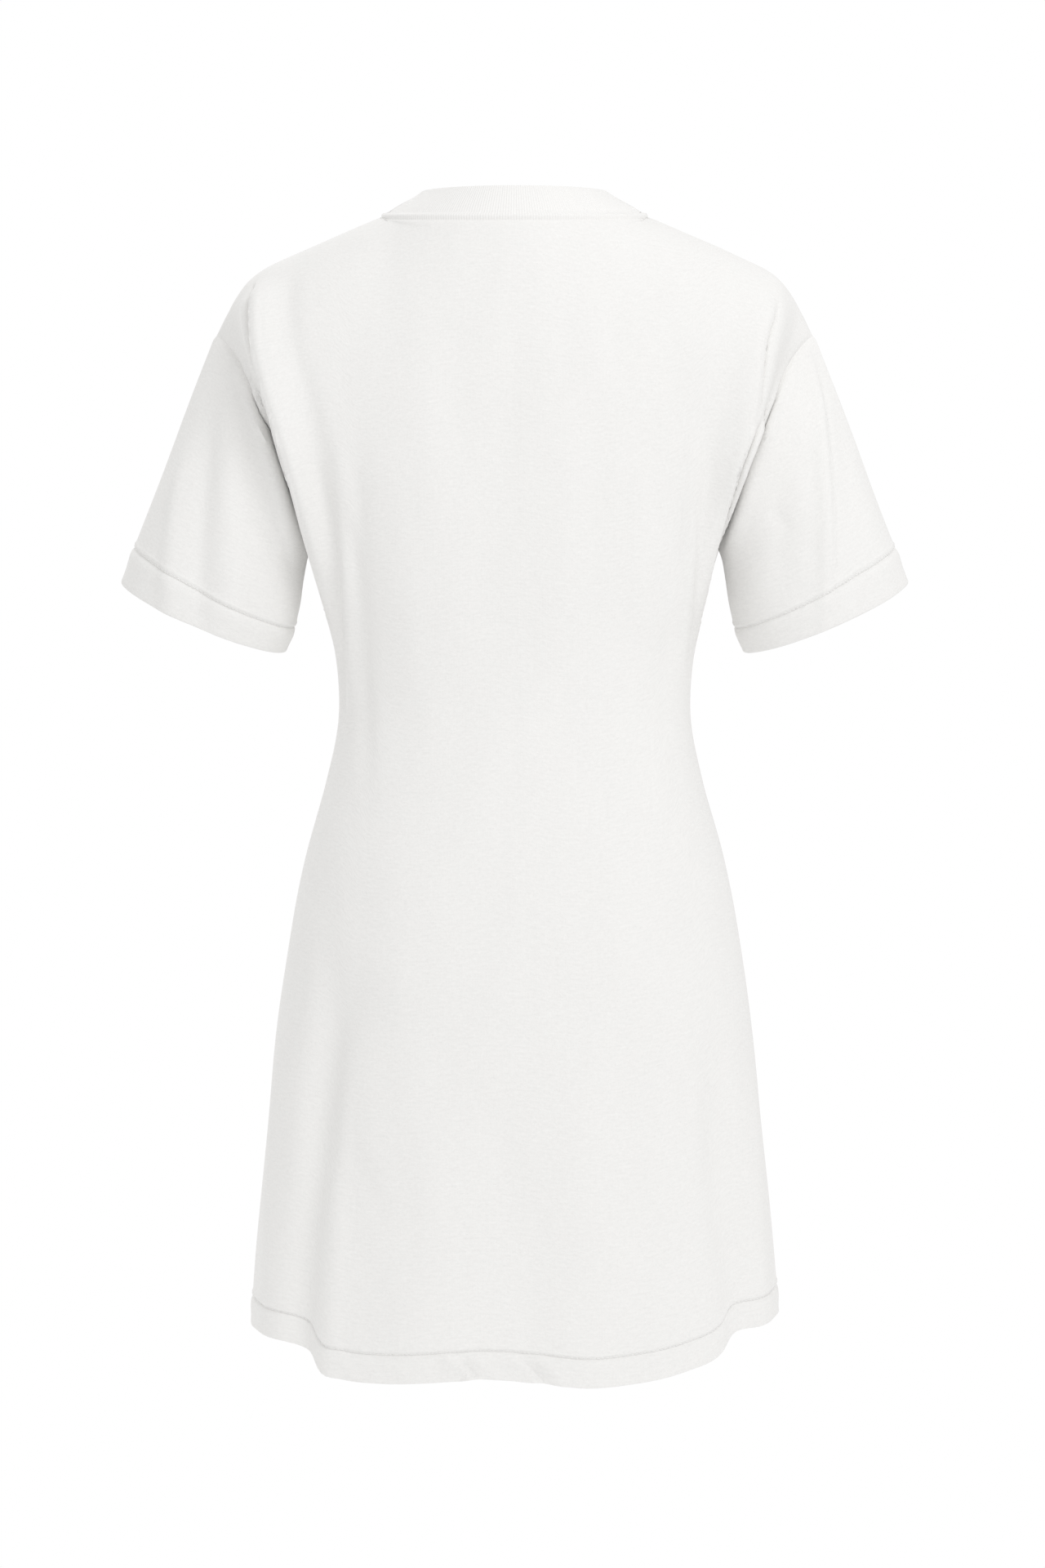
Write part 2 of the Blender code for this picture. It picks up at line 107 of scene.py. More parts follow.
HEM_LINE = {  # how far the hem hangs below the left side seam, at shares of its width
    BACK: [(0.000, 0.0000), (0.120, 0.0008), (0.180, 0.0052), (0.205, 0.0110), (0.225, 0.0202),
           (0.260, 0.0240), (0.320, 0.0252), (0.380, 0.0232), (0.460, 0.0205), (0.530, 0.0230),
           (0.600, 0.0265), (0.650, 0.0252), (0.740, 0.0180), (0.785, 0.0122), (0.810, 0.0060),
           (0.830, -0.0030), (0.870, -0.0062), (0.940, -0.0082), (1.000, -0.0088)],
    FRONT: [(0.000, 0.0000), (0.080, 0.0045), (0.200, 0.0170), (0.350, 0.0245), (0.500, 0.0262),
            (0.650, 0.0225), (0.800, 0.0115), (0.920, -0.0040), (1.000, -0.0088)],
}
HEM_LINE_TOP = -0.660  # height where the hem's own line begins

# Columns of cloth over the shoulder, by their distance along the shoulder and neck seams from
# the sleeve head: the handles of the curve that leave the underarm row and reach the seam, each
# as (out, deep, up).
Column = namedtuple("Column", "along rise over")
BACK_COLUMNS = [
    Column(0.000, (0.004, 0.050, -0.006), (-0.046, 0.046, -0.040)),
    Column(0.016, (0.004, 0.046, 0.008), (-0.024, 0.058, -0.030)),
    Column(0.046, (0.016, 0.058, 0.040), (0.006, 0.084, -0.012)),
    Column(0.090, (0.010, 0.036, 0.110), (0.000, 0.083, -0.012)),
    Column(0.157, (0.002, 0.014, 0.130), (0.000, 0.080, -0.012)),
    Column(0.198, (0.000, 0.008, 0.130), (0.000, 0.047, -0.032)),
    Column(0.244, (0.000, 0.004, 0.120), (0.000, 0.025, -0.045)),
    Column(0.295, (0.000, 0.003, 0.110), (0.000, 0.018, -0.050)),
]


def smooth(at, knots, values):
    """A cubic through the knots with even slopes; the values are numbers or points."""
    at, knots, values = (np.asarray(x, float) for x in (at, knots, values))
    step = np.diff(knots).reshape((-1,) + (1,) * (values.ndim - 1))
    pitch = np.diff(values, axis=0) / step
    inner = (pitch[:-1] * step[1:] + pitch[1:] * step[:-1]) / (step[1:] + step[:-1])
    slope = np.concatenate([pitch[:1], inner, pitch[-1:]])
    i = np.clip(np.searchsorted(knots, at, side="right") - 1, 0, len(knots) - 2)
    t = ((at - knots[i]) / np.diff(knots)[i]).reshape(at.shape + (1,) * (values.ndim - 1))
    return (
        values[i] * (1 + 2 * t) * (1 - t) ** 2
        + slope[i] * step[i] * t * (1 - t) ** 2
        + values[i + 1] * t * t * (3 - 2 * t)
        - slope[i + 1] * step[i] * t * t * (1 - t)
    )


def cubic(start, leave, arrive, end, t):
    """Points of cubic curves whose two handles are given as offsets from their ends."""
    t = np.asarray(t, float)[:, None, None]
    a, b = start + leave, end + arrive
    return start * (1 - t) ** 3 + 3 * a * t * (1 - t) ** 2 + 3 * b * t * t * (1 - t) + end * t**3


def ease(t):
    """From 0 to 1 without a sharp start or stop."""
    t = np.clip(t, 0, 1)
    return t * t * (3 - 2 * t)


def lengths(line):
    """The distance along a line of points at each of them."""
    return np.concatenate([[0], np.cumsum(np.linalg.norm(np.diff(line, axis=0), axis=1))])


def along_rows(grid):
    return np.stack([lengths(row) for row in grid])


def along_columns(grid):
    return np.stack([lengths(grid[:, k]) for k in range(grid.shape[1])], axis=1)


def unit(v):
    return v / np.maximum(np.linalg.norm(v, axis=-1, keepdims=True), 1e-12)


def spread(length, pitch=PITCH, fine_start=True, fine_end=True):
    """Distances from 0 to length at the mesh's pitch, closer together beside a seam."""
    head = BESIDE_SEAM if fine_start else BESIDE_SEAM[:1]
    tail = length - (BESIDE_SEAM[::-1] if fine_end else BESIDE_SEAM[:1])
    count = max(2, round((tail[0] - head[-1]) / pitch))
    return np.concatenate([head, np.linspace(head[-1], tail[0], count + 1)[1:-1], tail])


def points_at(line, at):
    """Points at the given distances along a line of points."""
    along = lengths(line)
    return np.stack([np.interp(at, along, line[:, k]) for k in range(3)], axis=-1)


def top_edge(facing):
    """Half of a panel's top edge, from the sleeve head over the shoulder to the centre of the neck.

    Gives its points, their distances along it, and the number of the high point of the shoulder.
    """
    knots = np.array(SHOULDER[::-1])
    shoulder = smooth(np.linspace(0, 1, 600), lengths(knots) / lengths(knots)[-1], knots)
    turn = np.linspace(0, math.pi / 2, 600)
    low = -NECK_DROP[facing] * (np.sin(turn) if facing == BACK else np.sin(turn) ** 2)
    neck = np.stack([NECK_HALF * np.cos(turn), NECK_DEEP[facing] * np.sin(turn), low], axis=1)
    near_sleeve = spread(FOLD_REACH, FOLD_PITCH[facing], fine_end=False)
    near_neck = FOLD_REACH + spread(lengths(shoulder)[-1] - FOLD_REACH, fine_start=False)[1:]
    on_shoulder = np.concatenate([near_sleeve, near_neck])
    on_neck = spread(lengths(neck)[-1], fine_end=False)
    edge = np.concatenate([points_at(shoulder, on_shoulder), points_at(neck, on_neck)[1:]])
    along = np.concatenate([on_shoulder, on_shoulder[-1] + on_neck[1:]])
    return edge, along, len(on_shoulder) - 1


def body_row(facing, height, shares):
    """One row of a body panel, at shares of its width from one side seam to the other."""
    column = {name: [getattr(row, name) for row in BODY] for name in Section._fields}
    half, side, drop = (smooth(height, column["height"], column[k]) for k in ("half", "side", "drop"))
    depth = smooth(height, column["height"], column["back" if facing == BACK else "front"])
    turn = np.linspace(-math.pi / 2, math.pi / 2, 1201)
    out = half * np.sign(np.sin(turn)) * np.abs(np.sin(turn)) ** (2 / ROUNDNESS)
    deep = depth * np.abs(np.cos(turn)) ** (2 / ROUNDNESS)
    out *= 1 - (1 - side / half) * np.exp(-((deep / SIDE_PULL) ** 2))
    line = np.stack([out, deep, np.zeros_like(out)], axis=1)
    at = shares * lengths(line)[-1]
    row = points_at(line, at)
    from_side = np.minimum(at, at[-1] - at)
    lowered = 1 - np.exp(-((from_side / SIDE_LIFT) ** 2))
    hem_line = smooth(shares, *np.transpose(HEM_LINE[facing]))
    near_hem = ease((HEM_LINE_TOP - height) / (HEM_LINE_TOP - HEM_HEIGHT))
    row[:, 2] = height - drop * lowered * (1 - near_hem) - hem_line * near_hem
    return row


def soften(grid, row, reach=9.0, times=70):
    """Evens out the bend of the cloth about one row, all but at its sewn edges."""
    rows, columns = np.arange(len(grid)), np.arange(grid.shape[1])
    near = np.exp(-(((rows - row) / reach) ** 2))[1:-1, None]
    inside = np.clip(np.minimum(columns, columns[::-1]) / 10, 0, 1)[None, :]
    for _ in range(times):
        around = (grid[2:] + grid[:-2]) / 2
        grid[1:-1] += (around - grid[1:-1]) * (near * inside * 0.5)[..., None]
    return grid


def ease_corner(grid, column, underarm, reach=13.0, times=160):
    """Evens out the bend of the cloth across the columns below the high point of a shoulder."""
    rows, columns = np.arange(len(grid)), np.arange(grid.shape[1])
    up = lengths(grid[:, column])
    free = ease((up[-1] - up) / SEAM_HOLD) * ease((rows - underarm + 12) / 20)
    near = np.exp(-(((columns - column) / reach) ** 2))
    weight = 0.5 * (free[:, None] * near[None, :])[:, 1:-1, None]
    for _ in range(times):
        grid[:, 1:-1] += ((grid[:, 2:] + grid[:, :-2]) / 2 - grid[:, 1:-1]) * weight


def body_panel(facing, columns):
    """A body panel's points [row, column] from the folded edge of the hem up to its top edge.

    Gives also its underarm row, and the number of columns from a sleeve head to the neck.
    """
    top, along, shoulder_end = top_edge(facing)
    shares = np.concatenate([along, 2 * along[-1] - along[-2::-1]]) / (2 * along[-1])
    knots = np.array([c.along for c in columns])
    knots[-1] = along[-1]
    underarm = BODY[-1].height
    above_hem = spread(underarm - HEM_HEIGHT - HEM_ROWS[-1], fine_start=False, fine_end=False)[1:]
    heights = np.concatenate([HEM_HEIGHT + HEM_ROWS, HEM_HEIGHT + HEM_ROWS[-1] + above_hem])
    rows = [body_row(facing, height, shares) for height in heights]
    start = rows[-1][: len(along)] * (-1, 1, 1)
    rise = smooth(along, knots, [c.rise for c in columns])
    over = smooth(along, knots, [c.over for c in columns])
    climb = spread(RISE, RISE_PITCH, fine_start=False)
    upper = cubic(start, rise, over, top, climb[1:] / climb[-1])
    upper = np.concatenate([upper * (-1, 1, 1), upper[:, -2::-1]], axis=1)
    grid = soften(np.concatenate([np.stack(rows), upper]), len(rows) - 1)
    for corner in (shoulder_end, grid.shape[1] - 1 - shoulder_end):
        ease_corner(grid, corner, len(rows) - 1)
    return grid * (1, facing, 1), len(rows) - 1, shoulder_end


def normals_of(grid, inside):
    """Unit normals of a grid of points, facing away from the points inside it."""
    normals = unit(np.cross(np.gradient(grid, axis=0), np.gradient(grid, axis=1)))
    return normals if (normals * (grid - inside)).sum() > 0 else -normals


def cloth_map(grid, middle):
    """Where each point lies on the flat cloth: across from the middle column, and up from the hem."""
    across = along_rows(grid)
    across -= across[:, middle : middle + 1]
    return np.stack([across, along_columns(grid)], axis=-1)


# A fold: the (x, z) places that it runs through, how far it stands out, and how wide it is.
Fold = namedtuple("Fold", "line out width")


def lay(grid, normals, line, facing, pitch=0.010):
    """Lays a line of (x, z) places onto the cloth that faces the given way.

    Gives the points of the line at the pitch, and the cloth's normals there.
    """
    knots = np.array([(x, 0.0, z) for x, z in line])
    along = lengths(knots)
    flat = smooth(np.linspace(0, along[-1], max(6, round(along[-1] / pitch))), along, knots)
    seen = normals[..., 1] * facing > 0.12
    spots, ups = grid[seen], normals[seen]
    near = [np.argmin((spots[:, 0] - x) ** 2 + (spots[:, 2] - z) ** 2) for x, _, z in flat]
    up = ups[near]
    lean = (flat[:, 0] - spots[near, 0]) * up[:, 0] + (flat[:, 2] - spots[near, 2]) * up[:, 2]
    flat[:, 1] = spots[near, 1] - lean / up[:, 1]
    return flat, up


LAP_DEPTH = 0.045  # how far before or behind its line a lap still moves the cloth
LAP_TURNS = (-0.145, -0.105)  # between these heights the cloth beside a lap turns away to the side
FADE = 0.3  # share of a fold's line over which it dies away


def lay_lap(grid, normals, line, facing):
    """Lays the line of a fold that laps, which stands out straight behind or before the wearer."""
    points, ups = lay(grid, normals, line, facing, 0.005)
    return points, unit(ups * 0.45 + np.array((0.0, facing, 0.0)))


def press(grid, laid, out, width=None, hold=None, profile=None, lead=FADE):
    """Raises or sinks the cloth along a laid line; it dies away towards both ends.

    A plain fold has a width. A fold that laps has a profile: rows of (distance away from the
    centre line of the body, out, sideways), with the distance as seen straight from behind, but
    for where the cloth turns away to the side. Its out is a share of the profile's.
    """
    points, ups = laid
    if profile is None:
        reach = width * 3
    else:
        knots = np.array(profile)
        reach = np.array((-knots[0, 0], LAP_DEPTH, -knots[0, 0]))
    low, high = points.min(axis=0) - reach, points.max(axis=0) + reach
    close = ((grid > low) & (grid < high)).all(axis=-1)
    spots = grid[close]
    nearest = np.full(len(spots), np.inf)
    push = np.zeros_like(spots)
    share = np.linspace(0, 1, len(points))
    for k in range(len(points) - 1):
        step = points[k + 1] - points[k]
        t = np.clip(((spots - points[k]) @ step) / (step @ step), 0, 1)
        offset = spots - points[k] - t[:, None] * step
        depth = np.abs(offset[:, 1])
        if profile is not None:
            offset[:, 1] *= ease((spots[:, 2] - LAP_TURNS[0]) / (LAP_TURNS[1] - LAP_TURNS[0]))
        far = np.linalg.norm(offset, axis=1)
        at = share[k] + t * (share[k + 1] - share[k])
        fade = ease(at / lead) * ease((1 - at) / FADE)
        up = unit(ups[k] * (1 - t[:, None]) + ups[k + 1] * t[:, None])
        closer = far < nearest
        if profile is None:
            moved = up * (out * fade * np.exp(-((far / width) ** 2)))[:, None]
        else:
            right = unit(np.cross(np.broadcast_to(step, up.shape), up))
            right *= np.sign(right[:, :1].sum() * points[k, 0])
            signed = np.copysign(far, (offset * right).sum(axis=1))
            shape = smooth(np.clip(signed, knots[0, 0], knots[-1, 0]), knots[:, 0], knots[:, 1:])
            fade *= ease((LAP_DEPTH - depth) / (LAP_DEPTH / 3))
            moved = (up * shape[:, :1] * out + right * shape[:, 1:] * out) * fade[:, None]
        nearest[closer] = far[closer]
        push[closer] = moved[closer]
    if hold is not None:
        push *= hold[close][:, None]
    grid[close] += push


def from_edges(grid):
    """How far each point is from the nearest sewn edge of the piece, along its row or column."""
    across, up = along_rows(grid), along_columns(grid)
    return np.minimum(np.minimum(across, across[:, -1:] - across), up[-1:] - up)


def unevenness(places, seed, size):
    """Soft waves of no pattern over the flat cloth, longer down it than across it."""
    chance = np.random.default_rng(seed)
    total = np.zeros(places.shape[:2])
    waves = 26
    for _ in range(waves):
        across, down = chance.uniform(0.030, 0.110), chance.uniform(0.090, 0.300)
        slant, start = chance.choice((-1, 1)), chance.uniform(0, 2 * math.pi)
        turns = places[..., 0] / across + slant * places[..., 1] / down
        total += np.sin(2 * math.pi * turns + start)
    return size * total / math.sqrt(waves / 2)


def sink_seams(grid, normals, gap):
    """Lets the cloth swell beside its seams, so that they lie a little lower than it."""
    grid += normals * (0.0013 * (1 - np.exp(-((gap / 0.0024) ** 2))))[..., None]


def press_hem(grid, normals):
    """Draws the cloth in along the line of hem stitches, and rolls the folded edge a little."""
    up = along_columns(grid)
    above = up - up[DITCH_ROW]
    ditch = -0.0012 * np.exp(-((above / 0.0011) ** 2))
    ridge = 0.0007 * np.exp(-(((above - 0.0026) / 0.0013) ** 2))
    swell = 0.0010 * np.exp(-(((above + 0.0065) / 0.006) ** 2))
    grid += normals * (ditch + ridge + swell)[..., None]


FOLD_TAKES = 0.0022  # of flat cloth, in the turn of a hem


def turned_up(grid, normals, places):
    """Both faces of a panel whose hem is turned up inside, and the flat places of their points."""
    inside_rows = range(len(HEM_ROWS) - 1, 0, -1)
    up = unit(grid[1] - grid[0])
    axis = grid[0] - normals[0] * (CLOTH + AIR / 2)
    outer = [grid[r] - normals[r] * (2 * CLOTH + AIR) for r in inside_rows]
    inner = [grid[r] - normals[r] * (CLOTH + AIR) for r in inside_rows]
    down = [places[r, :, 1] for r in inside_rows]
    for angle in (180, 150, 120, 90, 60, 30):
        turn = math.radians(angle)
        spoke = math.cos(turn) * normals[0] - math.sin(turn) * up
        outer.append(axis + spoke * (CLOTH + AIR / 2))
        inner.append(axis + spoke * AIR / 2)
        down.append(np.full(len(up), FOLD_TAKES * angle / 180))
    flat = [np.stack([places[0, :, 0], -d], axis=1) for d in down]
    return (
        np.concatenate([np.stack(outer), grid]),
        np.concatenate([np.stack(inner), grid - normals * CLOTH]),
        np.concatenate([np.stack(flat), places]),
    )


def cloth_piece(name, outer, inner, places, closed=False):
    """A piece of cloth: its two faces, joined round its edges. A closed one has rows that are rings."""
    rows, columns = outer.shape[:2]
    number = np.arange(rows * columns).reshape(rows, columns)
    if closed:
        number = np.concatenate([number, number[:, :1]], axis=1)
        end = places[:, :1] + (places[:, -1:] - places[:, :1]) * columns / (columns - 1)
        places = np.concatenate([places, end], axis=1)
    under = number + rows * columns
    spot = np.arange(number.size).reshape(number.shape)

    def corners(a):
        return np.stack([a[:-1, :-1], a[:-1, 1:], a[1:, 1:], a[1:, :-1]], axis=-1).reshape(-1, 4)

    faces = [corners(number), corners(under)[:, ::-1]]
    flats = [corners(spot), corners(spot)[:, ::-1]]
    edges = [(number[0], under[0], spot[0]), (under[-1], number[-1], spot[-1])]
    if not closed:
        edges += [(under[:, 0], number[:, 0], spot[:, 0]), (number[:, -1], under[:, -1], spot[:, -1])]
    for a, b, s in edges:
        faces.append(np.stack([a[1:], a[:-1], b[:-1], b[1:]], axis=-1))
        flats.append(np.stack([s[1:], s[:-1], s[:-1], s[1:]], axis=-1))
    faces, flats = np.concatenate(faces), np.concatenate(flats)
    points = np.concatenate([outer.reshape(-1, 3), inner.reshape(-1, 3)])
    centre = points[faces].mean(axis=1)
    a, b, c, d = (points[faces[:, k]] for k in range(4))
    if (centre * np.cross(c - a, d - b)).sum() < 0:
        faces, flats = faces[:, ::-1], flats[:, ::-1]
    mesh = bpy.data.meshes.new(name)
    mesh.from_pydata(points.tolist(), [], faces.tolist())
    layer = mesh.uv_layers.new(name="cloth")
    corner_places = places.reshape(-1, 2)[flats.reshape(-1)]
    layer.data.foreach_set("uv", corner_places.reshape(-1).astype(np.float32))
    mesh.shade_smooth()
    mesh.set_sharp_from_angle(angle=math.radians(55))
    piece = bpy.data.objects.new(name, mesh)
    bpy.context.scene.collection.objects.link(piece)
    return piece


back_form, underarm_row, shoulder_end = body_panel(BACK, BACK_COLUMNS)
upright = np.array((0.0, 0.0, 1.0))

# The fold that hangs from the shoulder over the back of each sleeve, from the edge outwards:
# (distance, out, sideways).
LAP = [
    (-0.0360, 0.0000, 0.0000),
    (-0.0260, -0.0014, 0.0000),
    (-0.0170, 0.0008, 0.0004),
    (-0.0090, 0.0040, 0.0012),
    (-0.0020, 0.0052, 0.0018),
    (0.0005, 0.0030, 0.0022),
    (0.0018, -0.0060, 0.0016),
    (0.0032, -0.0120, 0.0004),
    (0.0046, -0.0110, -0.0004),
    (0.0062, -0.0030, -0.0004),
    (0.0085, 0.0000, 0.0000),
    (0.0230, 0.0000, 0.0000),
]
LEFT_LAP = [(-0.1885, -0.052), (-0.1887, -0.066), (-0.189, -0.080), (-0.188, -0.094),
            (-0.1835, -0.121), (-0.1785, -0.139), (-0.170, -0.166), (-0.160, -0.201),
            (-0.1515, -0.233), (-0.1445, -0.258), (-0.139, -0.285), (-0.133, -0.330)]
RIGHT_CREASE = [(0.190, -0.062), (0.1868, -0.079), (0.1805, -0.098), (0.1765, -0.125),
                (0.174, -0.145), (0.170, -0.165), (0.165, -0.181)]
RIGHT_LAP = [(0.186, -0.132), (0.1800, -0.146), (0.1715, -0.167), (0.1585, -0.203),
             (0.1505, -0.231), (0.1435, -0.261), (0.137, -0.295), (0.1315, -0.335)]

BACK_FOLDS = [
    # beside the waist: narrow folds that run down along the side seams
    Fold([(-0.153, -0.140), (-0.145, -0.192), (-0.136, -0.226),
          (-0.1305, -0.281), (-0.1285, -0.328), (-0.121, -0.400)], -0.0050, 0.0085),
    Fold([(-0.130, -0.160), (-0.125, -0.230), (-0.121, -0.290), (-0.118, -0.370)], 0.0022, 0.0065),
    Fold([(-0.114, -0.150), (-0.112, -0.260), (-0.108, -0.380), (-0.106, -0.450)], -0.0026, 0.009),
    Fold([(-0.072, -0.040), (-0.074, -0.200), (-0.070, -0.400)], 0.0022, 0.024),
    Fold([(-0.010, -0.090), (-0.006, -0.220), (-0.010, -0.370)], -0.0032, 0.030),
    Fold([(0.060, -0.120), (0.058, -0.230), (0.050, -0.340)], -0.0012, 0.018),
    Fold([(0.094, -0.170), (0.093, -0.250), (0.088, -0.330)], 0.0012, 0.010),
    Fold([(0.114, -0.190), (0.113, -0.270), (0.108, -0.360)], -0.0018, 0.009),
    Fold([(0.130, -0.150), (0.127, -0.250), (0.121, -0.360)], 0.0026, 0.0055),
    Fold([(0.146, -0.150), (0.139, -0.220), (0.130, -0.330)], -0.0034, 0.0075),
    # over the seat
    Fold([(-0.060, -0.460), (-0.078, -0.530), (-0.085, -0.600)], 0.0030, 0.030),
    Fold([(0.065, -0.470), (0.075, -0.540), (0.080, -0.600)], 0.0020, 0.032),
    Fold([(-0.090, -0.545), (-0.130, -0.610), (-0.155, -0.680)], -0.0030, 0.026),
    # the skirt: soft flutes that grow towards the hem
    Fold([(-0.172, -0.560), (-0.176, -0.720), (-0.180, -0.980)], 0.0030, 0.018),
    Fold([(-0.130, -0.520), (-0.145, -0.700), (-0.153, -0.800), (-0.153, -1.020)], -0.0090, 0.013),
    Fold([(-0.118, -0.560), (-0.124, -0.680), (-0.130, -0.800), (-0.132, -1.000)], 0.0026, 0.009),
    Fold([(-0.112, -0.540), (-0.128, -0.610), (-0.128, -0.690), (-0.112, -0.740)], -0.0044, 0.018),
    Fold([(-0.062, -0.620), (-0.064, -0.760), (-0.064, -0.980)], 0.0026, 0.026),
    Fold([(-0.010, -0.600), (0.000, -0.740), (0.012, -0.980)], -0.0030, 0.030),
    Fold([(0.050, -0.600), (0.055, -0.740), (0.060, -0.980)], 0.0030, 0.030),
    Fold([(0.098, -0.620), (0.104, -0.760), (0.108, -0.980)], 0.0026, 0.020),
    Fold([(0.138, -0.560), (0.150, -0.720), (0.160, -0.800), (0.160, -1.000)], -0.0075, 0.015),
    Fold([(0.172, -0.600), (0.177, -0.740), (0.182, -0.980)], 0.0028, 0.016),
    # small creases
    Fold([(0.070, -0.444), (0.091, -0.451), (0.110, -0.449)], -0.0009, 0.0035),
    Fold([(0.004, -0.543), (0.020, -0.551), (0.036, -0.553)], -0.0007, 0.0035),
    Fold([(-0.116, -0.682), (-0.100, -0.712), (-0.088, -0.745)], -0.0011, 0.006),
    Fold([(-0.050, -0.300), (-0.020, -0.306), (0.012, -0.304)], -0.0006, 0.006),
    # puckers in the hem
    Fold([(-0.056, -0.822), (-0.038, -0.838), (-0.022, -0.856)], 0.0026, 0.0042),
    Fold([(-0.044, -0.822), (-0.028, -0.838), (-0.012, -0.856)], -0.0028, 0.0042),
    Fold([(-0.012, -0.822), (0.006, -0.838), (0.020, -0.856)], 0.0030, 0.0042),
    Fold([(-0.002, -0.822), (0.016, -0.838), (0.030, -0.856)], -0.0032, 0.0042),
    Fold([(0.010, -0.824), (0.027, -0.839), (0.040, -0.856)], 0.0015, 0.0040),
    Fold([(-0.132, -0.818), (-0.120, -0.834), (-0.114, -0.850)], 0.0009, 0.0050),
]

back_grid = back_form.copy()
back_normals = normals_of(back_form, back_form * upright)
back_places = cloth_map(back_form, back_form.shape[1] // 2)
back_gap = from_edges(back_form)
hold = ease(back_gap / SEAM_HOLD)
for fold in BACK_FOLDS:
    press(back_grid, lay(back_form, back_normals, fold.line, BACK), fold.out, fold.width, hold)
back_grid += back_normals * (unevenness(back_places, seed=11, size=0.00016) * hold)[..., None]
# The armhole seams are drawn level with the cloth beside them where no fold hides them.
RIGHT_SEAM = [(0.206, -0.106), (0.195, -0.127), (0.188, -0.138), (0.182, -0.152),
              (0.176, -0.168), (0.168, -0.188), (0.161, -0.206), (0.155, -0.228)]
LEFT_SEAM = [(-x, z) for x, z in RIGHT_SEAM[:5]]
Level = namedtuple("Level", "line out width")
Lap = namedtuple("Lap", "line strength lead")
levels = [
    Level(lay_lap(back_form, back_normals, LEFT_SEAM, BACK), 0.006, 0.008),
    Level(lay_lap(back_form, back_normals, RIGHT_SEAM, BACK), 0.008, 0.009),
]
laps = [
    Lap(lay_lap(back_form, back_normals, LEFT_LAP, BACK), 1.30, 0.06),
    Lap(lay_lap(back_form, back_normals, RIGHT_CREASE, BACK), 0.22, 0.15),
    Lap(lay_lap(back_form, back_normals, RIGHT_LAP, BACK), 0.50, 0.30),
]


def shape_beside_arms(grid):
    """Shapes the cloth near the armholes, across the seams of body and sleeve alike."""
    for level in levels:
        press(grid, level.line, level.out, level.width)
    for lap in laps:
        press(grid, lap.line, lap.strength, profile=LAP, lead=lap.lead)


shape_beside_arms(back_grid)
back_normals = normals_of(back_grid, back_form * upright)
sink_seams(back_grid, back_normals, back_gap)
press_hem(back_grid, back_normals)
back_normals = normals_of(back_grid, back_form * upright)
back = cloth_piece("dress_back", *turned_up(back_grid, back_normals, back_places))


def link(nodes, *pairs):
    """Joins each (output, input)."""
    for source, target in pairs:
        nodes.id_data.links.new(source, target)


def cloth_material(name):
    """A cloth's material, its nodes and its shader, and the node that gives the flat cloth's place."""
    material = bpy.data.materials.new(name)
    material.use_nodes = True
    nodes = material.node_tree.nodes
    shader = nodes["Principled BSDF"]
    shader.inputs["Roughness"].default_value = 0.88
    shader.inputs["Specular IOR Level"].default_value = 0.25
    shader.inputs["Sheen Weight"].default_value = 0.06
    shader.inputs["Sheen Roughness"].default_value = 0.6
    place = nodes.new("ShaderNodeUVMap")
    place.uv_map = "cloth"
    return material, nodes, shader, place


def laid_on(nodes, place, texture, scale):
    """Lays a texture on the flat cloth, so fine across it and up it, and gives its value."""
    mapping = nodes.new("ShaderNodeMapping")
    mapping.inputs["Scale"].default_value = (*scale, 1.0)
    texture.inputs["Scale"].default_value = 1.0
    link(nodes, (place.outputs["UV"], mapping.inputs["Vector"]),
         (mapping.outputs["Vector"], texture.inputs["Vector"]))
    return texture.outputs["Fac"]


def grain(nodes, place, scale, detail=2.0, rough=0.55):
    """A noise with so many grains a metre across the cloth and up it."""
    noise = nodes.new("ShaderNodeTexNoise")
    noise.inputs["Detail"].default_value = detail
    noise.inputs["Roughness"].default_value = rough
    return laid_on(nodes, place, noise, scale)


def stripes(nodes, place, apart):
    """Soft stripes that run up the cloth, so far apart."""
    wave = nodes.new("ShaderNodeTexWave")
    wave.bands_direction = "X"
    wave.inputs["Distortion"].default_value = 0.6
    radians = 20  # that a wave turns over a length of 1
    return laid_on(nodes, place, wave, (2 * math.pi / radians / apart, 1))


def tint(nodes, shader, colour, *marks):
    """The cloth's colour, made a little lighter and darker by each (pattern, amount)."""
    last = None
    for value, amount in marks:
        span = nodes.new("ShaderNodeMapRange")
        span.inputs["From Min"].default_value, span.inputs["From Max"].default_value = 0.25, 0.75
        span.inputs["To Min"].default_value, span.inputs["To Max"].default_value = 1 - amount, 1.0
        link(nodes, (value, span.inputs["Value"]))
        if last is None:
            last = span.outputs["Result"]
        else:
            both = nodes.new("ShaderNodeMath")
            both.operation = "MULTIPLY"
            link(nodes, (last, both.inputs[0]), (span.outputs["Result"], both.inputs[1]))
            last = both.outputs[0]
    mix = nodes.new("ShaderNodeMix")
    mix.data_type = "RGBA"
    mix.inputs[6].default_value = (0, 0, 0, 1)
    mix.inputs[7].default_value = (*colour, 1)
    link(nodes, (last, mix.inputs[0]), (mix.outputs[2], shader.inputs["Base Color"]))


def relief(nodes, shader, *layers):
    """Bumps of (pattern, height in metres), one on the other."""
    last = None
    for value, height in layers:
        bump = nodes.new("ShaderNodeBump")
        bump.inputs["Distance"].default_value = height
        link(nodes, (value, bump.inputs["Height"]))
        if last is not None:
            link(nodes, (last, bump.inputs["Normal"]))
        last = bump.outputs["Normal"]
    link(nodes, (last, shader.inputs["Normal"]))


JERSEY_WHITE = (0.890, 0.884, 0.870)
WALE = 1 / 1200  # from one wale of the knit to the next

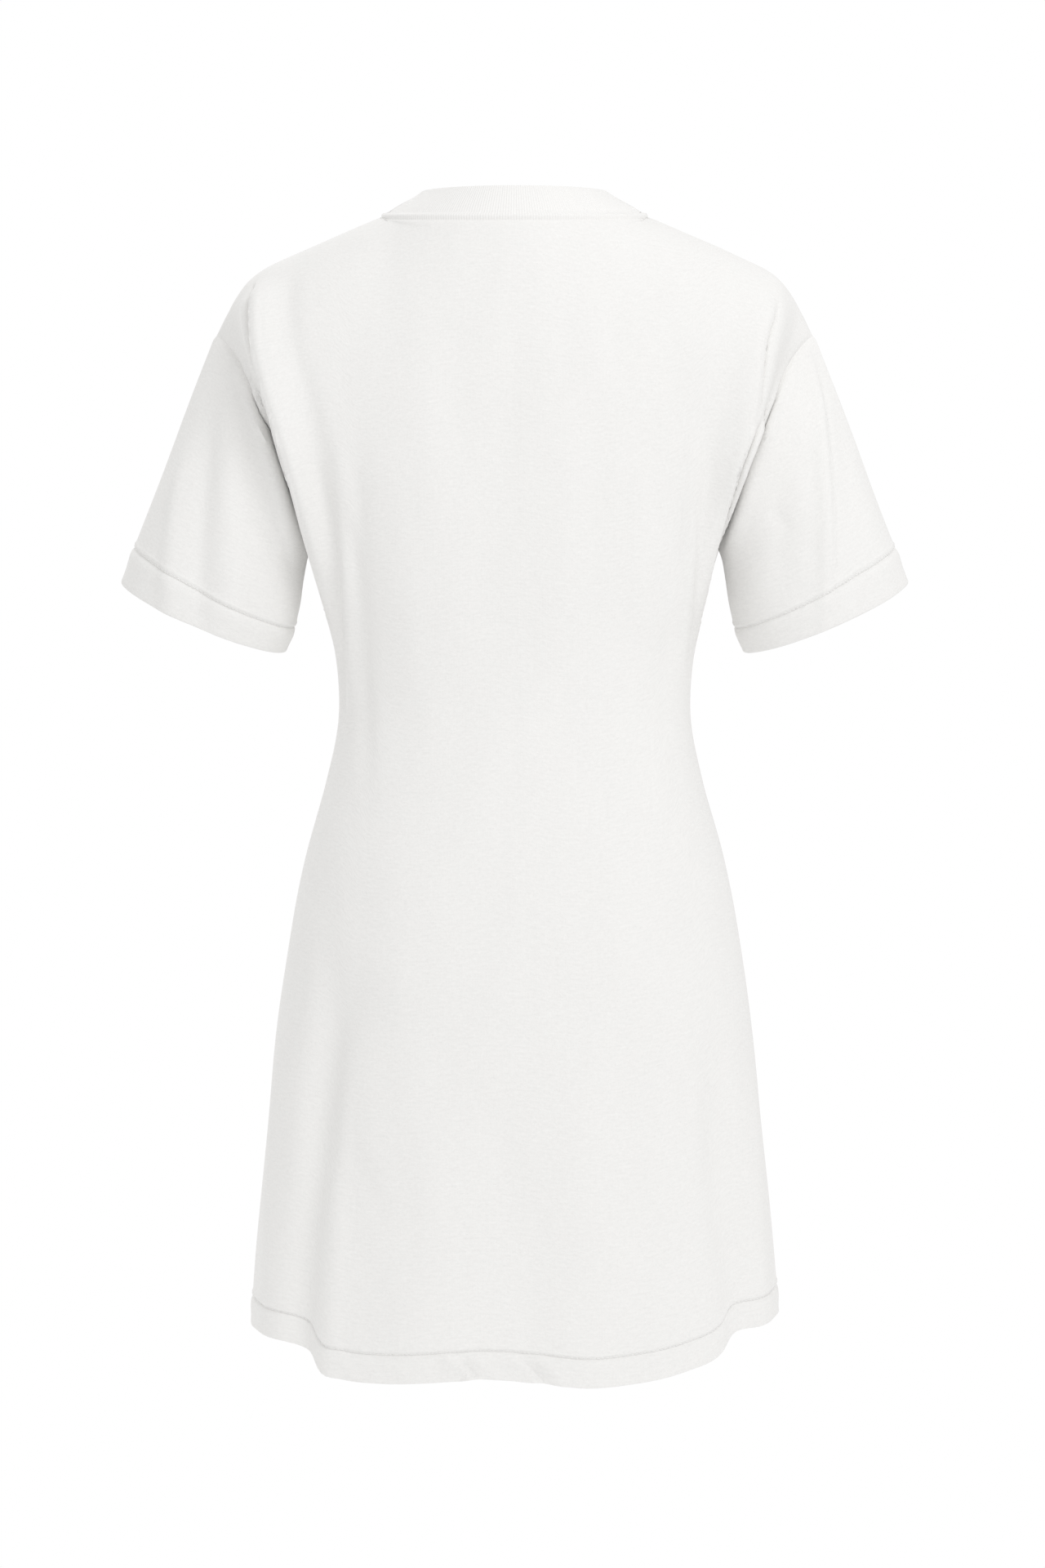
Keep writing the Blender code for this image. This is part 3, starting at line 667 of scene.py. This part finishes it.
jersey, nodes, shader, place = cloth_material("cotton_jersey")
slubs = grain(nodes, place, (110, 560), detail=1.5)
fibres = grain(nodes, place, (380, 480), detail=2.0, rough=0.7)
handled = grain(nodes, place, (26, 17), detail=3.0)
wales = stripes(nodes, place, WALE)
tint(nodes, shader, JERSEY_WHITE, (slubs, 0.034), (fibres, 0.055), (handled, 0.012))
relief(nodes, shader, (handled, 0.0010), (fibres, 0.00025), (slubs, 0.00012), (wales, 0.00003))
back.data.materials.append(jersey)
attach(back, "root")
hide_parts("back")

# ---------------------------------------------------------------------------------------------
# Front. The same jersey, cut lower at the neck than the back. It is plain, and creased in the
# same soft way.

FRONT_COLUMNS = [
    Column(0.000, (0.003, 0.048, -0.006), (-0.048, 0.044, -0.042)),
    Column(0.016, (0.004, 0.042, 0.008), (-0.026, 0.054, -0.032)),
    Column(0.046, (0.014, 0.042, 0.040), (0.002, 0.070, -0.012)),
    Column(0.090, (0.008, 0.020, 0.090), (0.000, 0.074, -0.010)),
    Column(0.157, (0.000, 0.002, 0.110), (0.000, 0.072, -0.008)),
    Column(0.200, (0.000, -0.006, 0.090), (0.000, 0.038, -0.024)),
    Column(0.250, (0.000, -0.006, 0.060), (0.000, 0.018, -0.038)),
    Column(0.310, (0.000, -0.004, 0.040), (0.000, 0.010, -0.040)),
]
FRONT_FOLDS = [
    # below the arms and at the waist
    Fold([(-0.140, -0.165), (-0.118, -0.215), (-0.104, -0.275)], -0.0026, 0.010),
    Fold([(-0.125, -0.160), (-0.100, -0.215), (-0.088, -0.280)], 0.0016, 0.010),
    Fold([(0.138, -0.170), (0.116, -0.222), (0.100, -0.285)], -0.0024, 0.011),
    Fold([(0.120, -0.165), (0.098, -0.225), (0.085, -0.290)], 0.0015, 0.011),
    Fold([(-0.105, -0.250), (-0.100, -0.340), (-0.096, -0.440)], -0.0022, 0.012),
    Fold([(-0.050, -0.240), (-0.045, -0.340), (-0.050, -0.440)], 0.0020, 0.022),
    Fold([(0.004, -0.250), (0.000, -0.350), (0.006, -0.450)], -0.0022, 0.026),
    Fold([(0.055, -0.260), (0.052, -0.350), (0.056, -0.450)], 0.0018, 0.020),
    Fold([(0.108, -0.270), (0.103, -0.350), (0.100, -0.440)], -0.0020, 0.010),
    Fold([(-0.085, -0.395), (-0.060, -0.402), (-0.034, -0.398)], -0.0010, 0.0045),
    Fold([(0.040, -0.388), (0.066, -0.396), (0.092, -0.392)], -0.0009, 0.0045),
    # from the neck
    Fold([(-0.075, -0.060), (-0.050, -0.120), (-0.038, -0.190)], 0.0013, 0.016),
    Fold([(0.078, -0.055), (0.056, -0.118), (0.046, -0.185)], 0.0012, 0.016),
    # the skirt
    Fold([(-0.168, -0.560), (-0.174, -0.720), (-0.180, -0.980)], 0.0026, 0.017),
    Fold([(-0.130, -0.520), (-0.136, -0.700), (-0.143, -1.020)], -0.0080, 0.017),
    Fold([(-0.085, -0.600), (-0.090, -0.740), (-0.094, -0.980)], 0.0026, 0.024),
    Fold([(-0.036, -0.600), (-0.034, -0.740), (-0.030, -0.980)], -0.0026, 0.028),
    Fold([(0.020, -0.620), (0.026, -0.740), (0.032, -0.980)], 0.0028, 0.028),
    Fold([(0.080, -0.600), (0.084, -0.740), (0.090, -0.980)], -0.0022, 0.022),
    Fold([(0.128, -0.540), (0.136, -0.720), (0.145, -1.000)], -0.0078, 0.015),
    Fold([(0.166, -0.600), (0.172, -0.740), (0.178, -0.980)], 0.0026, 0.016),
    # puckers in the hem
    Fold([(-0.070, -0.822), (-0.054, -0.838), (-0.040, -0.856)], 0.0018, 0.0045),
    Fold([(0.040, -0.822), (0.054, -0.838), (0.068, -0.856)], -0.0020, 0.0045),
    Fold([(0.050, -0.822), (0.064, -0.838), (0.078, -0.856)], 0.0018, 0.0045),
]

front_form, _, _ = body_panel(FRONT, FRONT_COLUMNS)
front_grid = front_form.copy()
front_normals = normals_of(front_form, front_form * upright)
front_places = cloth_map(front_form, front_form.shape[1] // 2)
front_gap = from_edges(front_form)
hold = ease(front_gap / SEAM_HOLD)
for fold in FRONT_FOLDS:
    press(front_grid, lay(front_form, front_normals, fold.line, FRONT), fold.out, fold.width, hold)
front_grid += front_normals * (unevenness(front_places, seed=23, size=0.00018) * hold)[..., None]
shape_beside_arms(front_grid)
front_normals = normals_of(front_grid, front_form * upright)
sink_seams(front_grid, front_normals, front_gap)
press_hem(front_grid, front_normals)
front_normals = normals_of(front_grid, front_form * upright)
front = cloth_piece("dress_front", *turned_up(front_grid, front_normals, front_places))
front.data.materials.append(jersey)
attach(front, "root")
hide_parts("front")

# ---------------------------------------------------------------------------------------------
# Sleeves. Each is one piece of jersey, sewn up under the arm and set into the armhole, with a
# hem turned up like the skirt's.

# The sleeve hem is a tilted oval: its centre, its half axis from the outside to the inside, and
# its half axis from front to back, which dips towards the back.
CUFF_CENTRE = (0.2320, 0.004, -0.2955)
CUFF_ACROSS = (-0.0605, 0.000, -0.0257)
CUFF_DEEP = (0.000, -0.052, -0.0115)
SLEEVE_HOLD = 0.011  # how far from a sleeve's seam it still holds the cloth in place
# From the sleeve head (0) to the underarm seam (1): the handle that leaves the armhole, as
# (out, deep, up), and the length of the one that ends at the hem.
SleeveColumn = namedtuple("SleeveColumn", "share leave arrive")
SLEEVE_COLUMNS = [
    SleeveColumn(0.00, (0.0240, 0.000, -0.0600), 0.060),
    SleeveColumn(0.30, (0.0340, 0.016, -0.0420), 0.060),
    SleeveColumn(0.60, (0.0300, 0.014, -0.0240), 0.050),
    SleeveColumn(0.85, (0.0200, 0.004, -0.0060), 0.045),
    SleeveColumn(1.00, (0.0090, 0.000, -0.0100), 0.045),
]


def sleeve_panel(side):
    """A sleeve's points [row, column] from the hem up, round from the underarm seam back to it.

    Gives also the number of the column at the sleeve head.
    """
    edge = 0 if side < 0 else -1
    rear, fore = back_form[underarm_row:, edge], front_form[underarm_row:, edge][-2::-1]
    ring = np.concatenate([rear, fore])
    split = len(rear) - 1
    long = lengths(ring)
    behind = np.arange(len(ring)) <= split
    fore_share = (long - long[split]) / (long[-1] - long[split])
    share = np.where(behind, 1 - long / long[split], fore_share)
    deep = np.where(behind, 1.0, -1.0)
    oval = (CUFF_CENTRE, CUFF_ACROSS, CUFF_DEEP)
    centre, across, depth = (np.array(v) * (side, 1, 1) for v in oval)
    turn = np.linspace(0, math.pi, 800)
    half_oval = np.cos(turn)[:, None] * -across + np.sin(turn)[:, None] * depth
    angle = np.interp(share, lengths(half_oval) / lengths(half_oval)[-1], turn)[:, None]
    cuff = centre - np.cos(angle) * across + np.sin(angle) * depth * deep[:, None]
    knots = [c.share for c in SLEEVE_COLUMNS]
    leave = smooth(share, knots, [c.leave for c in SLEEVE_COLUMNS])
    leave = leave * np.stack([np.full(len(ring), side), -deep, np.ones(len(ring))], axis=1)
    arm = unit(np.cross(across, depth)) * side
    arrive = smooth(share, knots, [c.arrive for c in SLEEVE_COLUMNS])[:, None] * arm
    reach = np.linalg.norm(cuff - ring, axis=1).mean()
    steps = spread(reach - HEM_ROWS[-1], RISE_PITCH, fine_end=False)
    steps = np.concatenate([steps, reach - HEM_ROWS[-2::-1]]) / reach
    return cubic(ring, leave, arrive, cuff, steps)[::-1], split


LEFT, RIGHT = -1, 1  # the sign of X on which a sleeve lies
SLEEVE_FOLDS = {
    LEFT: [
        (BACK, Fold([(-0.204, -0.118), (-0.188, -0.150), (-0.173, -0.200),
                     (-0.162, -0.245), (-0.157, -0.275)], 0.0085, 0.016)),
        (BACK, Fold([(-0.222, -0.110), (-0.226, -0.190), (-0.232, -0.340)], -0.0040, 0.0095)),
        (BACK, Fold([(-0.206, -0.130), (-0.207, -0.190), (-0.208, -0.330)], 0.0036, 0.013)),
        (BACK, Fold([(-0.240, -0.150), (-0.248, -0.210), (-0.256, -0.330)], 0.0030, 0.008)),
        (BACK, Fold([(-0.196, -0.226), (-0.184, -0.238), (-0.174, -0.252)], -0.0013, 0.0045)),
        (BACK, Fold([(-0.202, -0.218), (-0.190, -0.229), (-0.178, -0.240)], 0.0010, 0.0045)),
        (BACK, Fold([(-0.206, -0.236), (-0.194, -0.247), (-0.184, -0.262)], 0.0008, 0.0050)),
        (FRONT, Fold([(-0.220, -0.140), (-0.226, -0.200), (-0.232, -0.330)], -0.0026, 0.012)),
        (FRONT, Fold([(-0.200, -0.160), (-0.205, -0.210), (-0.206, -0.270)], 0.0016, 0.011)),
        (FRONT, Fold([(-0.192, -0.216), (-0.180, -0.230), (-0.172, -0.246)], -0.0011, 0.0050)),
    ],
    RIGHT: [
        (BACK, Fold([(0.204, -0.118), (0.188, -0.150), (0.172, -0.200),
                     (0.161, -0.245), (0.157, -0.275)], 0.0070, 0.016)),
        (BACK, Fold([(0.212, -0.075), (0.223, -0.130), (0.227, -0.190), (0.227, -0.330)], 0.0036, 0.006)),
        (BACK, Fold([(0.216, -0.075), (0.228, -0.130), (0.232, -0.190), (0.232, -0.330)], -0.0026, 0.0032)),
        (BACK, Fold([(0.236, -0.130), (0.244, -0.200), (0.248, -0.320)], -0.0022, 0.010)),
        (BACK, Fold([(0.202, -0.110), (0.190, -0.135), (0.181, -0.160)], 0.0018, 0.006)),
        (BACK, Fold([(0.198, -0.180), (0.196, -0.230), (0.196, -0.290)], -0.0016, 0.010)),
        (BACK, Fold([(0.186, -0.214), (0.194, -0.228), (0.204, -0.238)], -0.0009, 0.0050)),
        (FRONT, Fold([(0.220, -0.130), (0.226, -0.200), (0.230, -0.330)], -0.0026, 0.011)),
        (FRONT, Fold([(0.202, -0.150), (0.206, -0.210), (0.206, -0.270)], 0.0018, 0.010)),
        (FRONT, Fold([(0.190, -0.220), (0.180, -0.234), (0.174, -0.250)], -0.0011, 0.0050)),
    ],
}
sleeve_hems = {}
for side, name in ((LEFT, "left"), (RIGHT, "right")):
    form, head = sleeve_panel(side)
    middle = form.mean(axis=1, keepdims=True)
    normals = normals_of(form, middle)
    places = cloth_map(form, head)
    gap = from_edges(form)
    hold = ease(gap / SLEEVE_HOLD)
    grid = form.copy()
    for facing, fold in SLEEVE_FOLDS[side]:
        press(grid, lay(form, normals, fold.line, facing), fold.out, fold.width, hold)
    grid += normals * (unevenness(places, seed=31 + side, size=0.00020) * hold)[..., None]
    shape_beside_arms(grid)
    normals = normals_of(grid, middle)
    sink_seams(grid, normals, gap)
    press_hem(grid, normals)
    normals = normals_of(grid, middle)
    sleeve = cloth_piece(f"sleeve_{name}_cloth", *turned_up(grid, normals, places))
    sleeve.data.materials.append(jersey)
    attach(sleeve, "root")
    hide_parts(f"sleeve_{name}")
    sleeve_hems[name] = grid, normals

# ---------------------------------------------------------------------------------------------
# Neck rib. A strip of rib cloth, folded double along its top edge and sewn on with its raw
# edges turned down. The seam inside pushes out its lowest few millimetres.

RIB_THICK = 0.0022  # of both layers, with the air between them
# The upper edge of the rib: half width, depths behind and in front, and heights.
RIB_HALF = 0.0695
RIB_BACK = 0.0610
RIB_FRONT = 0.0690
RIB_SIDE_UP = 0.0200
RIB_BACK_UP = 0.0130
RIB_FRONT_UP = -0.0660
RIB_CURVE = 0.010  # length of the handles that bend the rib from the body's slope to upright

last = back_form.shape[1] - 1 - shoulder_end
front_last = front_form.shape[1] - 1 - shoulder_end


def round_the_neck(row):
    """The points of one row of the body across the back, and then back across the front.

    The front is entered as many columns from its sleeve heads as the back, which is past the high
    points of the shoulder, as the front has fewer columns: between them the ring runs straight.
    """
    behind_neck = back_form[row, shoulder_end : last + 1]
    before_neck = front_form[row, front_last - 1 : shoulder_end : -1]
    return np.concatenate([behind_neck, before_neck])


seam, below = round_the_neck(-1), round_the_neck(-4)
behind = last - shoulder_end
along = lengths(np.concatenate([seam, seam[:1]]))
turn = np.where(
    np.arange(len(seam)) <= behind,
    along[:-1] / along[behind] * math.pi,
    math.pi + (along[:-1] - along[behind]) / (along[-1] - along[behind]) * math.pi,
)
deep = -np.sin(turn)
back_lowered = -deep * (RIB_BACK_UP - RIB_SIDE_UP)
lowered = np.where(deep < 0, back_lowered, deep**2 * (RIB_FRONT_UP - RIB_SIDE_UP))
reach = np.where(deep < 0, RIB_BACK, RIB_FRONT) * deep
upper = np.stack([-RIB_HALF * np.cos(turn), reach, RIB_SIDE_UP + lowered], axis=1)
rib_steps = (0, 0.03, 0.07, 0.12, 0.18, 0.25, 0.32, 0.40, 0.50, 0.60, 0.70, 0.80, 0.88, 0.95, 1.0)
flow = unit(seam - below) + unit(upper - seam)
for _ in range(30):
    flow = unit(flow * 2 + np.roll(flow, 1, axis=0) + np.roll(flow, -1, axis=0))
arrive = unit(seam - upper) - upright * 0.35 + unit(upper - upper.mean(axis=0)) * 0.25
band = cubic(seam, flow * RIB_CURVE, unit(arrive) * RIB_CURVE, upper, rib_steps)


def ring_normals(rows):
    """Outward normals of rows of points that close into rings."""
    ringed = np.concatenate([rows[:, -1:], rows, rows[:, :1]], axis=1)
    return normals_of(ringed, rows.mean(axis=1, keepdims=True))[:, 1:-1]


rib_normals = ring_normals(band)
height = along_columns(band)
lobe = 0.0023 * np.exp(-(((height - 0.0032) / 0.0026) ** 2))  # over the seam
lobe -= 0.0004 * np.exp(-(((height - 0.0082) / 0.0014) ** 2))  # the crease above it
lobe *= 1 - np.exp(-((height / 0.0010) ** 2))
band = band + rib_normals * lobe[..., None]
rib_normals = ring_normals(band)
leaf = (RIB_THICK - AIR) / 2
fold_up = unit(band[-1] - band[-2])
axis = band[-1] - rib_normals[-1] * RIB_THICK / 2
outer, inner = [*band], [*(band - rib_normals * leaf)]
for angle in (25, 50, 75, 105, 130, 155):
    turn = math.radians(angle)
    spoke = rib_normals[-1] * math.cos(turn) + fold_up * math.sin(turn)
    outer.append(axis + spoke * RIB_THICK / 2)
    inner.append(axis + spoke * AIR / 2)
outer += [*(band - rib_normals * RIB_THICK)[::-1]]
inner += [*(band - rib_normals * (leaf + AIR))[::-1]]
outer, inner = np.stack(outer), np.stack(inner)
rib_up = along_columns(outer)
rib_places = np.stack([np.broadcast_to(along[:-1], rib_up.shape), rib_up], axis=-1)
rib = cloth_piece("neck_band", outer, inner, rib_places, closed=True)

RIB_WHITE = (0.900, 0.893, 0.880)
RIB_APART = 0.0020268  # from one rib of the knit to the next
ribbing, nodes, shader, place = cloth_material("cotton_rib")
fibres = grain(nodes, place, (520, 760), detail=2.0, rough=0.7)
# The rib stripes give the bump of the ribs, and they also darken the colour in the grooves between them,
# where the bump sinks: that darkening is painted shade.
rib_bumps_and_groove_shade = stripes(nodes, place, RIB_APART)
# The second tint is painted shade in the grooves between the ribs.
tint(nodes, shader, RIB_WHITE, (fibres, 0.02), (rib_bumps_and_groove_shade, 0.02))
relief(nodes, shader, (rib_bumps_and_groove_shade, 0.00022), (fibres, 0.00010))
rib.data.materials.append(ribbing)
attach(rib, "root")
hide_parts("neck_rib")

# ---------------------------------------------------------------------------------------------
# Hem stitches. One row of thread runs round the skirt and one round each sleeve, just above a
# line where it draws the cloth in.

STITCH_LONG, STITCH_WIDE, STITCH_HIGH = 0.0028, 0.00080, 0.00055
STITCH_PITCH = 0.0031
STITCH_ROW = 8  # of HEM_ROWS

bpy.ops.object.select_all(action="DESELECT")
bpy.ops.mesh.primitive_uv_sphere_add(segments=6, ring_count=4, radius=0.5)
pattern_stitch = bpy.context.active_object
bpy.ops.object.mode_set(mode="EDIT")
bpy.ops.transform.rotate(value=math.radians(90), orient_axis="Y", center_override=(0, 0, 0))
bpy.ops.transform.resize(value=(STITCH_LONG, STITCH_WIDE, STITCH_HIGH), center_override=(0, 0, 0))
bpy.ops.object.mode_set(mode="OBJECT")
stitch_points = np.array([v.co[:] for v in pattern_stitch.data.vertices])
stitch_faces = [list(f.vertices) for f in pattern_stitch.data.polygons]
bpy.data.objects.remove(pattern_stitch, do_unlink=True)


def stitch_row(line, ups):
    """The points of a stitch laid over and over along a line of cloth."""
    along = lengths(line)
    at = np.arange(STITCH_PITCH / 2, along[-1], STITCH_PITCH)
    spots = points_at(line, at)
    ways = unit(points_at(line, at + 0.0008) - points_at(line, at - 0.0008))
    highs = unit(np.stack([np.interp(at, along, ups[:, k]) for k in range(3)], axis=-1))
    sides = unit(np.cross(highs, ways))
    axes = np.stack([ways, sides, np.cross(ways, sides)], axis=1)
    return spots[:, None] + stitch_points @ axes + highs[:, None] * STITCH_HIGH * 0.3


def thread_piece(name, rows):
    """All the stitches of a hem, as one piece."""
    points = np.concatenate([r.reshape(-1, 3) for r in rows])
    count = len(points) // len(stitch_points)
    faces = [[v + k * len(stitch_points) for v in f] for k in range(count) for f in stitch_faces]
    mesh = bpy.data.meshes.new(name)
    mesh.from_pydata(points.tolist(), [], faces)
    mesh.shade_smooth()
    piece = bpy.data.objects.new(name, mesh)
    bpy.context.scene.collection.objects.link(piece)
    piece.data.materials.append(thread)
    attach(piece, "root")


THREAD_WHITE = (0.905, 0.900, 0.890)
thread = bpy.data.materials.new("polyester_thread")
thread.use_nodes = True
nodes = thread.node_tree.nodes
shader = nodes["Principled BSDF"]
shader.inputs["Roughness"].default_value = 0.55
shader.inputs["Sheen Weight"].default_value = 0.1
coordinates = nodes.new("ShaderNodeTexCoord")
twist = nodes.new("ShaderNodeTexNoise")
twist.inputs["Scale"].default_value = 2400.0
link(nodes, (coordinates.outputs["Object"], twist.inputs["Vector"]))
tint(nodes, shader, THREAD_WHITE, (twist.outputs["Fac"], 0.05))
relief(nodes, shader, (twist.outputs["Fac"], 0.0001))

thread_piece("hem_stitches", [
    stitch_row(back_grid[STITCH_ROW], back_normals[STITCH_ROW]),
    stitch_row(front_grid[STITCH_ROW], front_normals[STITCH_ROW]),
])
for name, (grid, normals) in sleeve_hems.items():
    thread_piece(f"sleeve_{name}_stitches", [stitch_row(grid[STITCH_ROW], normals[STITCH_ROW])])

# ---------------------------------------------------------------------------------------------
# Camera, light and floor: a plain white studio with a soft lamp behind the wearer and another
# in front.

camera_data = bpy.data.cameras.new("camera")
camera_data.lens = 70.7
camera_data.sensor_width = 36.0
camera = bpy.data.objects.new("camera", camera_data)
camera.location = (0.0058, -2.3, -0.422)
camera.rotation_euler = (math.radians(90), 0, 0)
bpy.context.scene.collection.objects.link(camera)
bpy.context.scene.camera = camera

world = bpy.data.worlds.new("studio")
world.use_nodes = True
bpy.context.scene.world = world
nodes = world.node_tree.nodes
nodes.clear()
room = nodes.new("ShaderNodeBackground")
wall = nodes.new("ShaderNodeBackground")
mix = nodes.new("ShaderNodeMixShader")
path = nodes.new("ShaderNodeLightPath")
output = nodes.new("ShaderNodeOutputWorld")
room.inputs["Color"].default_value = (1.0, 0.998, 0.994, 1.0)
room.inputs["Strength"].default_value = 0.84
wall.inputs["Color"].default_value = (1.0, 1.0, 1.0, 1.0)
wall.inputs["Strength"].default_value = 1.0
link(nodes, (path.outputs["Is Camera Ray"], mix.inputs[0]), (room.outputs[0], mix.inputs[1]),
     (wall.outputs[0], mix.inputs[2]), (mix.outputs[0], output.inputs["Surface"]))

Lamp = namedtuple("Lamp", "name place power")
LAMPS = [Lamp("key_lamp", (1.05, -1.85, 1.35), 19.5), Lamp("front_lamp", (-1.3, 2.1, 1.2), 15.0)]
for name, place, power in LAMPS:
    lamp_data = bpy.data.lights.new(name, "AREA")
    lamp_data.shape = "RECTANGLE"
    lamp_data.size, lamp_data.size_y = 1.3, 1.6
    lamp_data.energy = power
    lamp_data.color = (0.99, 0.99, 1.0)
    lamp = bpy.data.objects.new(name, lamp_data)
    lamp.location = place
    aim = Vector((0.0, 0.0, -0.35)) - lamp.location
    lamp.rotation_euler = aim.to_track_quat("-Z", "Y").to_euler()
    bpy.context.scene.collection.objects.link(lamp)

bpy.ops.object.select_all(action="DESELECT")
bpy.ops.mesh.primitive_circle_add(vertices=128, radius=1.4, fill_type="NGON", location=(0, 0, -1.42))
floor = bpy.context.active_object
floor.name = "floor"
bpy.ops.object.transform_apply(location=True)
paper = bpy.data.materials.new("floor_paper")
paper.use_nodes = True
shader = paper.node_tree.nodes["Principled BSDF"]
shader.inputs["Base Color"].default_value = (0.9, 0.9, 0.9, 1)
shader.inputs["Roughness"].default_value = 0.95
shader.inputs["Emission Color"].default_value = (1, 1, 1, 1)
shader.inputs["Emission Strength"].default_value = 0.22
floor.data.materials.append(paper)

bpy.context.scene.view_settings.view_transform = "Standard"
